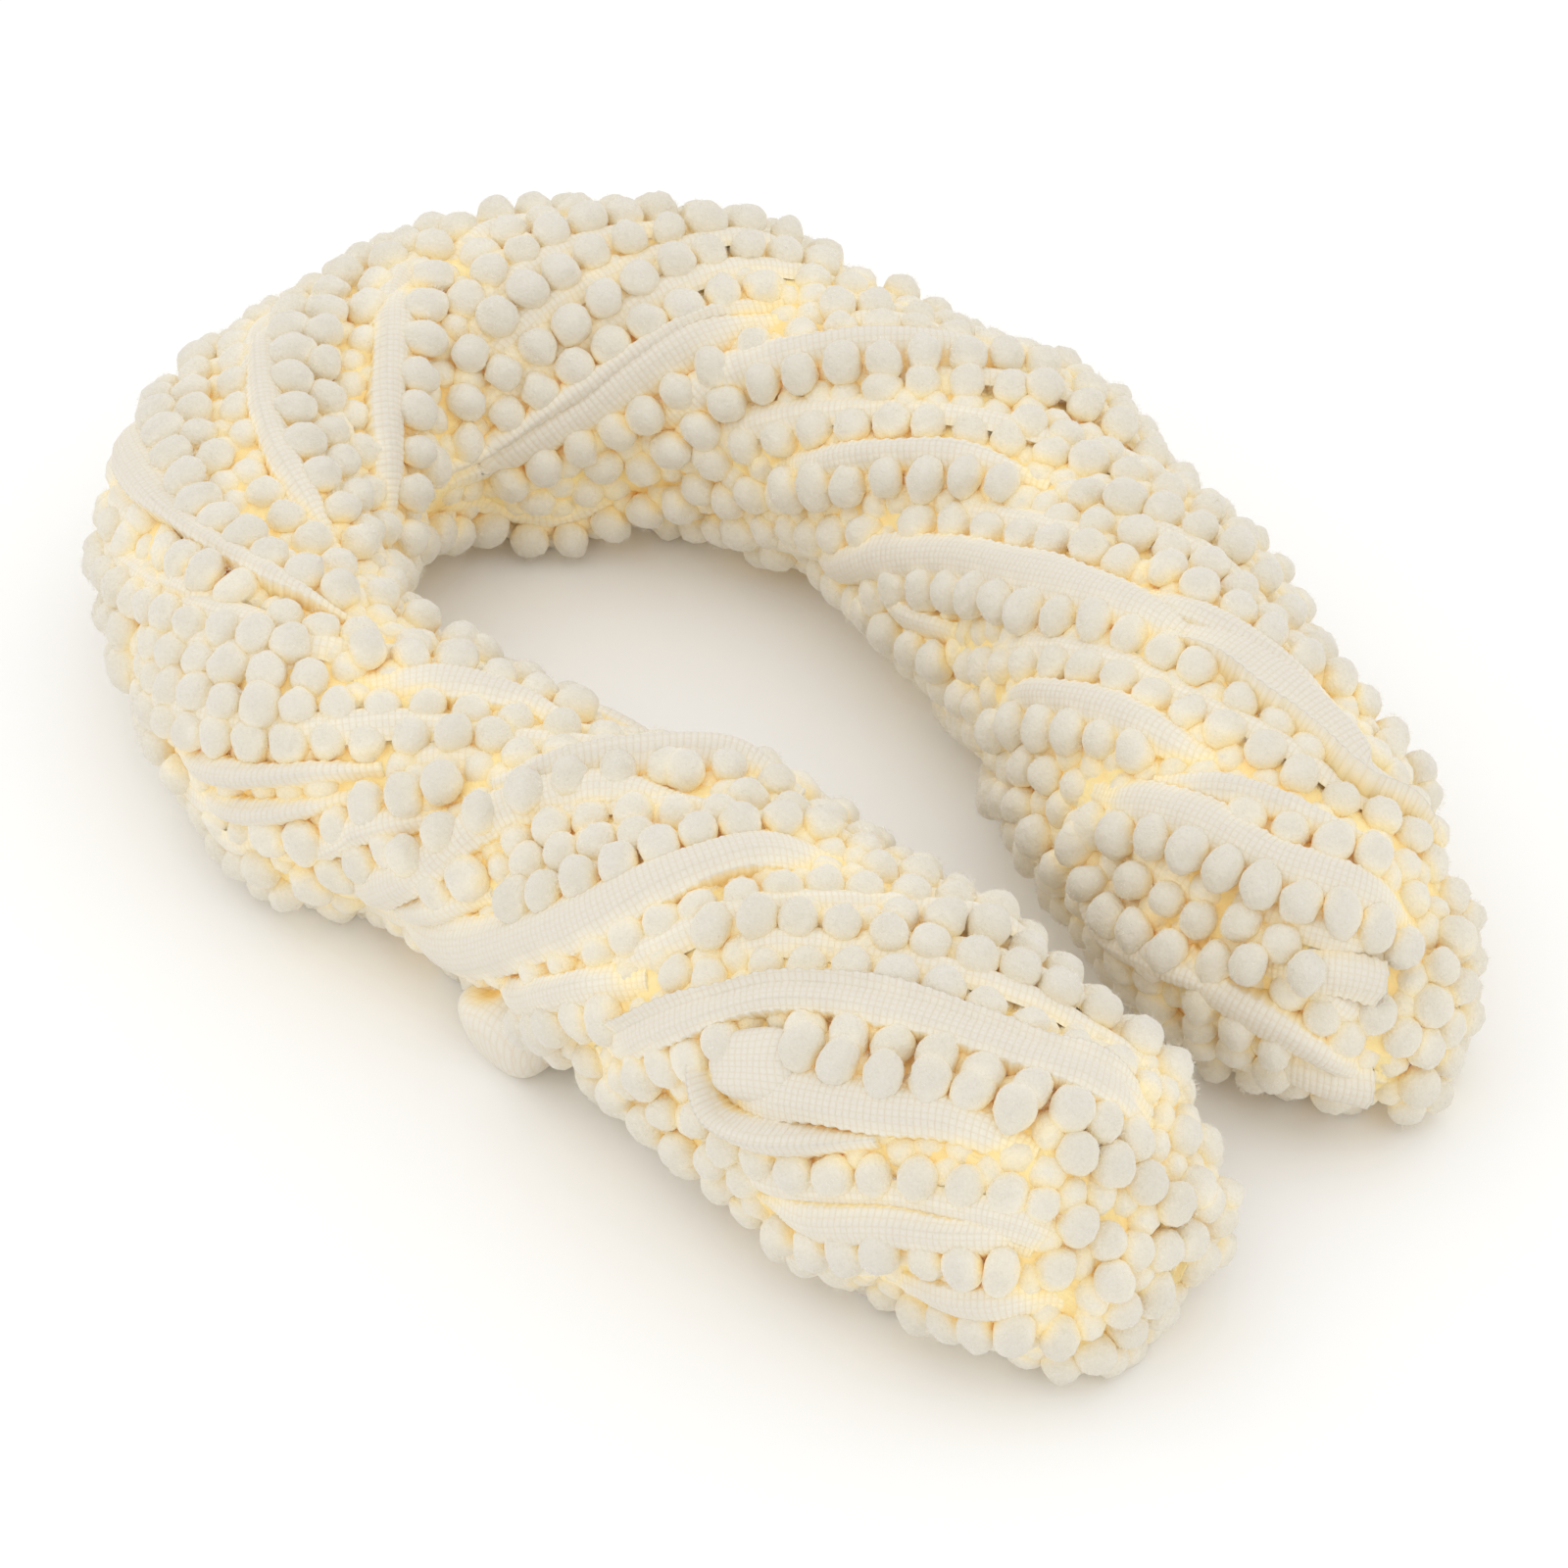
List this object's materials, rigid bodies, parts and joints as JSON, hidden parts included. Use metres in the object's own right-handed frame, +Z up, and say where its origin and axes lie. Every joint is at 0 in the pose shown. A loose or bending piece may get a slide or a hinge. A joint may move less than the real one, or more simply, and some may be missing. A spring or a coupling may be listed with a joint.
{
  "type": "pompom fringe trim hank",
  "caption": "Twisted hank of cream pompom fringe trim on a narrow knitted tape, bent into a U and lying flat, with two loose cut tape ends near its open end",
  "frame": {"origin": "on the resting surface, below the middle of the part's bounding box", "axes": "+X from the bend of the U towards its open end, +Y from the front arm to the back arm, +Z up"},
  "size_m": [0.246, 0.1707, 0.0542],
  "materials": {
    "pompom_yarn": "soft fuzzy cut polyester pile, matte",
    "knitted_tape": "ribbed knitted polyester tape, matte"
  },
  "bodies": {
    "root": {"hank": "pompom_yarn", "loose_end_low": "knitted_tape", "loose_end_high": "knitted_tape"}
  },
  "joints": []
}
